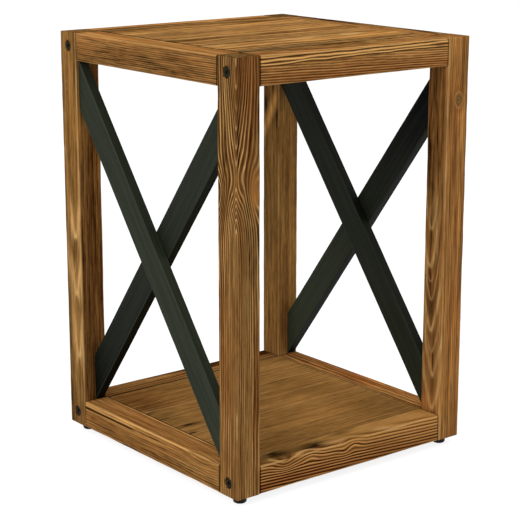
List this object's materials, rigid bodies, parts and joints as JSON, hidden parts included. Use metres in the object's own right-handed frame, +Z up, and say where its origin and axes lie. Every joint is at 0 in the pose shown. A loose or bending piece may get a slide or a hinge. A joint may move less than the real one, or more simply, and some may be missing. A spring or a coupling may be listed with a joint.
{
  "type": "side table",
  "caption": "Square knock-down wooden side table: planked top and shelf between side frames of posts and rails, crossed dark braces in the sides, socket bolts, round feet.",
  "frame": {"origin": "on the floor under the middle of the table", "axes": "+X to the right seen from the front, +Y from the front to the back, +Z up; the crossed braces are in the left and right sides"},
  "size_m": [0.42, 0.42, 0.612],
  "materials": {
    "pine_leg": "stained and wire-brushed pine, worn arrises",
    "pine_rail": "stained and wire-brushed pine, worn arrises",
    "pine_plank": "stained pine with light and dark streaks",
    "pine_batten": "planed pine, unstained",
    "brace_stain": "charcoal stain with a faint grain",
    "dowel_beech": "plain beech",
    "bolt_black": "black oxide, slightly glossy",
    "nut_steel": "zinc plated",
    "screw_steel": "zinc plated",
    "foot_rubber": "black, matt"
  },
  "bodies": {
    "root": {"barrel_nuts_left": "nut_steel", "barrel_nuts_right": "nut_steel", "brace_inner_left": "brace_stain", "brace_inner_right": "brace_stain", "brace_outer_left": "brace_stain", "brace_outer_right": "brace_stain", "brace_pins_left": "dowel_beech", "brace_pins_right": "dowel_beech", "connector_bolts_left": "bolt_black", "connector_bolts_right": "bolt_black", "foot_front_left": "foot_rubber", "foot_front_right": "foot_rubber", "foot_rear_left": "foot_rubber", "foot_rear_right": "foot_rubber", "foot_screws": "screw_steel", "frame_dowels_left": "dowel_beech", "frame_dowels_right": "dowel_beech", "leg_front_left": "pine_leg", "leg_front_right": "pine_leg", "leg_rear_left": "pine_leg", "leg_rear_right": "pine_leg", "rail_pins_left": "dowel_beech", "rail_pins_right": "dowel_beech", "shelf_back_rail": "pine_rail", "shelf_batten_left": "pine_batten", "shelf_batten_right": "pine_batten", "shelf_batten_screws": "screw_steel", "shelf_front_rail": "pine_rail", "shelf_plank_1": "pine_plank", "shelf_plank_2": "pine_plank", "shelf_plank_3": "pine_plank", "side_bottom_rail_left": "pine_rail", "side_bottom_rail_right": "pine_rail", "side_top_rail_left": "pine_rail", "side_top_rail_right": "pine_rail", "top_back_rail": "pine_rail", "top_batten_left": "pine_batten", "top_batten_right": "pine_batten", "top_batten_screws": "screw_steel", "top_front_rail": "pine_rail", "top_plank_1": "pine_plank", "top_plank_2": "pine_plank", "top_plank_3": "pine_plank"}
  },
  "joints": []
}
